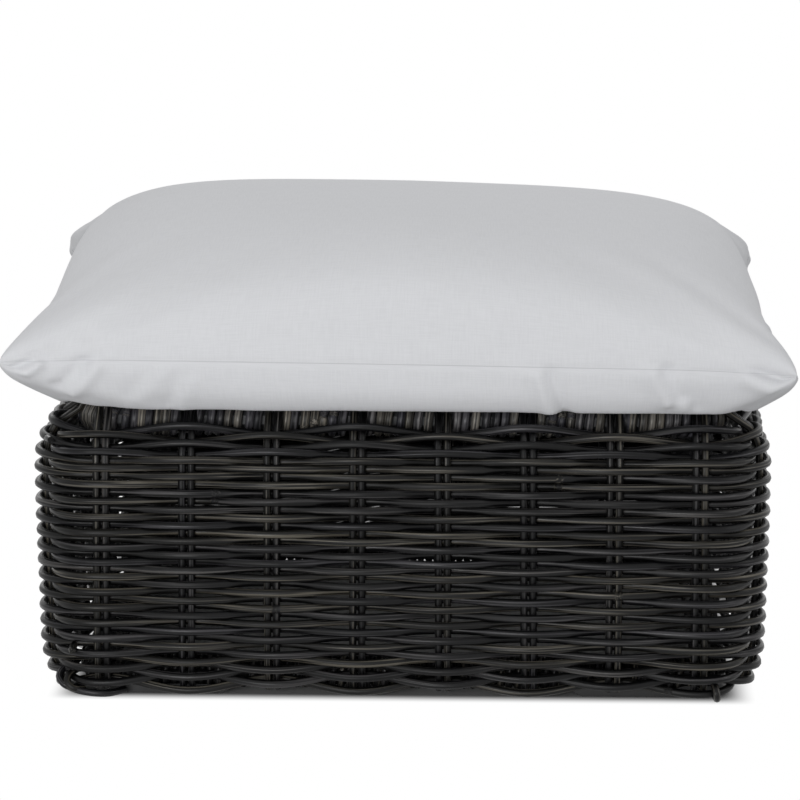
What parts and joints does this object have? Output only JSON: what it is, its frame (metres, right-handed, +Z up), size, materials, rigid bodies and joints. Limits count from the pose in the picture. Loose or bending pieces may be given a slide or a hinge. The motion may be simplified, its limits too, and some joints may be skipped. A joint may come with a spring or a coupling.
{
  "type": "outdoor ottoman",
  "caption": "Square woven wicker ottoman base on a tube frame with flat floor glides, and a loose crowned knife-edge cushion with a zip in its back seam.",
  "frame": {"origin": "middle of the footprint, on the floor", "axes": "+Z up, front faces -Y, +X to the right seen from the front"},
  "size_m": [0.74, 0.74, 0.4495],
  "materials": {
    "wicker": "satin extruded round strand, charcoal with grey-brown streaks",
    "frame": "charcoal powder coat on aluminium tube",
    "glide": "moulded, matt",
    "zinc_steel": "zinc plated",
    "cushion_cloth": "fine plain-woven outdoor canvas",
    "fibre_fill": "polyester fibre fill in an inner bag",
    "zip_tape": "nylon coil zip on woven tape"
  },
  "bodies": {
    "base": {"top_rail": "frame", "bottom_rail": "frame", "post_back_left": "frame", "post_front_left": "frame", "post_front_right": "frame", "post_back_right": "frame", "deck_slat_1": "frame", "deck_slat_2": "frame", "deck_slat_3": "frame", "deck_slat_4": "frame", "deck_slat_5": "frame", "glide_front_left": "glide", "glide_front_right": "glide", "glide_back_left": "glide", "glide_back_right": "glide", "glide_screw_front_left_1": "zinc_steel", "glide_screw_front_left_2": "zinc_steel", "glide_screw_front_right_1": "zinc_steel", "glide_screw_front_right_2": "zinc_steel", "glide_screw_back_left_1": "zinc_steel", "glide_screw_back_left_2": "zinc_steel", "glide_screw_back_right_1": "zinc_steel", "glide_screw_back_right_2": "zinc_steel", "bottom_rail_wrap": "wicker", "stakes_back": "wicker", "stakes_left": "wicker", "stakes_front": "wicker", "stakes_right": "wicker", "weaver_a_01": "wicker", "weaver_a_02": "wicker", "weaver_a_03": "wicker", "weaver_a_04": "wicker", "weaver_a_05": "wicker", "weaver_a_06": "wicker", "weaver_a_07": "wicker", "weaver_a_08": "wicker", "weaver_a_09": "wicker", "weaver_b_01": "wicker", "weaver_b_02": "wicker", "weaver_b_03": "wicker", "weaver_b_04": "wicker", "weaver_b_05": "wicker", "weaver_b_06": "wicker", "weaver_b_07": "wicker", "weaver_b_08": "wicker", "weaver_b_09": "wicker"},
    "cushion": {"cushion_cover": "cushion_cloth", "cushion_insert": "fibre_fill", "zip_chain": "zip_tape"},
    "zip_slider": {"zip_slider": "zinc_steel"},
    "zip_pull": {"zip_pull": "zinc_steel"}
  },
  "joints": [
    {"name": "cushion_lift", "type": "slide", "parent": "base", "child": "cushion", "axis": [0, 0, 1], "range_m": [0, 0.25]},
    {"name": "zip_slide", "type": "slide", "parent": "cushion", "child": "zip_slider", "axis": [1, 0, 0], "range_m": [0, 0.4207]},
    {"name": "pull_swing", "type": "hinge", "parent": "zip_slider", "child": "zip_pull", "pos_m": [-0.21038, 0.348, 0.3235], "axis": [1, 0, 0], "range_deg": [0, 150]}
  ]
}
